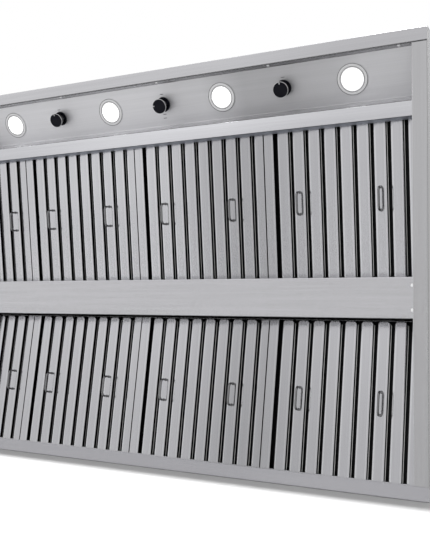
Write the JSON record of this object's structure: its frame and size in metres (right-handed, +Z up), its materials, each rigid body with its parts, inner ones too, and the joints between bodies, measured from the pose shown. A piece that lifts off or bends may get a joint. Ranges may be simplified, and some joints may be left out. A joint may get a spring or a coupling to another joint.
{
  "type": "range hood insert",
  "caption": "Stainless range hood insert with a tilted control panel, lights, knobs, baffle filters either side of a beam, and twin blowers under round duct collars.",
  "frame": {"origin": "middle of the rim's underside", "axes": "+X to the cook's right, +Y to the wall behind, +Z up towards the ducts"},
  "size_m": [1.178, 0.8826, 0.3862],
  "materials": {
    "case_steel": "brushed lengthways",
    "filter_steel": "fine satin",
    "handle_wire": "polished wire",
    "screw_steel": "bright",
    "galvanised_sheet": "galvanised, faint spangle",
    "motor_paint": "satin black",
    "switch_plastic": "matt",
    "knob_black": "satin with a bright ring",
    "light_ring": "satin nickel",
    "light_diffuser": "frosted, lit"
  },
  "bodies": {
    "casing": {"front_wall": "case_steel", "rear_wall": "case_steel", "left_wall": "case_steel", "right_wall": "case_steel", "top_panel": "case_steel", "control_panel": "case_steel", "front_rail": "case_steel", "centre_beam": "case_steel", "casing_screws": "screw_steel", "junction_box": "galvanised_sheet", "blower_left_housing": "galvanised_sheet", "blower_right_housing": "galvanised_sheet", "blower_left_motor": "motor_paint", "blower_right_motor": "motor_paint", "duct_collar_left": "galvanised_sheet", "duct_collar_right": "galvanised_sheet", "damper_rods": "screw_steel", "rotary_switches": "switch_plastic", "light_1_housing": "light_ring", "light_1_lens": "light_diffuser", "light_2_housing": "light_ring", "light_2_lens": "light_diffuser", "light_3_housing": "light_ring", "light_3_lens": "light_diffuser", "light_4_housing": "light_ring", "light_4_lens": "light_diffuser"},
    "front_filter_1": {"front_filter_1_frame": "filter_steel", "front_filter_1_baffles": "filter_steel", "front_filter_1_handles": "handle_wire"},
    "front_filter_2": {"front_filter_2_frame": "filter_steel", "front_filter_2_baffles": "filter_steel", "front_filter_2_handles": "handle_wire"},
    "front_filter_3": {"front_filter_3_frame": "filter_steel", "front_filter_3_baffles": "filter_steel", "front_filter_3_handles": "handle_wire"},
    "front_filter_4": {"front_filter_4_frame": "filter_steel", "front_filter_4_baffles": "filter_steel", "front_filter_4_handles": "handle_wire"},
    "rear_filter_1": {"rear_filter_1_frame": "filter_steel", "rear_filter_1_baffles": "filter_steel", "rear_filter_1_handles": "handle_wire"},
    "rear_filter_2": {"rear_filter_2_frame": "filter_steel", "rear_filter_2_baffles": "filter_steel", "rear_filter_2_handles": "handle_wire"},
    "rear_filter_3": {"rear_filter_3_frame": "filter_steel", "rear_filter_3_baffles": "filter_steel", "rear_filter_3_handles": "handle_wire"},
    "rear_filter_4": {"rear_filter_4_frame": "filter_steel", "rear_filter_4_baffles": "filter_steel", "rear_filter_4_handles": "handle_wire"},
    "left_knob": {"knob_left": "knob_black"},
    "middle_knob": {"knob_middle": "knob_black"},
    "right_knob": {"knob_right": "knob_black"},
    "left_wheel": {"blower_left_impeller": "galvanised_sheet"},
    "left_front_flap": {"damper_flap_left_front": "galvanised_sheet"},
    "left_rear_flap": {"damper_flap_left_rear": "galvanised_sheet"},
    "right_wheel": {"blower_right_impeller": "galvanised_sheet"},
    "right_front_flap": {"damper_flap_right_front": "galvanised_sheet"},
    "right_rear_flap": {"damper_flap_right_rear": "galvanised_sheet"}
  },
  "joints": [
    {"name": "front_filter_1_slide", "type": "slide", "parent": "casing", "child": "front_filter_1", "axis": [0, 0.9971, 0.0758], "range_m": [0, 0.015]},
    {"name": "front_filter_2_slide", "type": "slide", "parent": "casing", "child": "front_filter_2", "axis": [0, 0.9971, 0.0758], "range_m": [0, 0.015]},
    {"name": "front_filter_3_slide", "type": "slide", "parent": "casing", "child": "front_filter_3", "axis": [0, 0.9971, 0.0758], "range_m": [0, 0.015]},
    {"name": "front_filter_4_slide", "type": "slide", "parent": "casing", "child": "front_filter_4", "axis": [0, 0.9971, 0.0758], "range_m": [0, 0.015]},
    {"name": "rear_filter_1_slide", "type": "slide", "parent": "casing", "child": "rear_filter_1", "axis": [0, -0.9833, 0.1822], "range_m": [0, 0.015]},
    {"name": "rear_filter_2_slide", "type": "slide", "parent": "casing", "child": "rear_filter_2", "axis": [0, -0.9833, 0.1822], "range_m": [0, 0.015]},
    {"name": "rear_filter_3_slide", "type": "slide", "parent": "casing", "child": "rear_filter_3", "axis": [0, -0.9833, 0.1822], "range_m": [0, 0.015]},
    {"name": "rear_filter_4_slide", "type": "slide", "parent": "casing", "child": "rear_filter_4", "axis": [0, -0.9833, 0.1822], "range_m": [0, 0.015]},
    {"name": "left_knob_turn", "type": "hinge", "parent": "casing", "child": "left_knob", "pos_m": [-0.2908, -0.37246, 0.03567], "axis": [0, -0.4226, 0.9063], "range_deg": [0, 270]},
    {"name": "middle_knob_turn", "type": "hinge", "parent": "casing", "child": "middle_knob", "pos_m": [0, -0.37246, 0.03567], "axis": [0, -0.4226, 0.9063], "range_deg": [-270, 0]},
    {"name": "right_knob_turn", "type": "hinge", "parent": "casing", "child": "right_knob", "pos_m": [0.2908, -0.37246, 0.03567], "axis": [0, -0.4226, 0.9063], "range_deg": [0, 270]},
    {"name": "left_wheel_spin", "type": "hinge", "parent": "casing", "child": "left_wheel", "pos_m": [-0.2945, -0.03741, 0.24], "axis": [1, 0, 0], "continuous": true},
    {"name": "left_front_flap_swing", "type": "hinge", "parent": "casing", "child": "left_front_flap", "pos_m": [-0.2945, 0.06, 0.3502], "axis": [-1, 0, 0], "range_deg": [0, 75]},
    {"name": "left_rear_flap_swing", "type": "hinge", "parent": "casing", "child": "left_rear_flap", "pos_m": [-0.2945, 0.06, 0.3502], "axis": [1, 0, 0], "range_deg": [0, 75]},
    {"name": "right_wheel_spin", "type": "hinge", "parent": "casing", "child": "right_wheel", "pos_m": [0.2945, -0.03741, 0.24], "axis": [1, 0, 0], "continuous": true},
    {"name": "right_front_flap_swing", "type": "hinge", "parent": "casing", "child": "right_front_flap", "pos_m": [0.2945, 0.06, 0.3502], "axis": [-1, 0, 0], "range_deg": [0, 75]},
    {"name": "right_rear_flap_swing", "type": "hinge", "parent": "casing", "child": "right_rear_flap", "pos_m": [0.2945, 0.06, 0.3502], "axis": [1, 0, 0], "range_deg": [0, 75]}
  ]
}
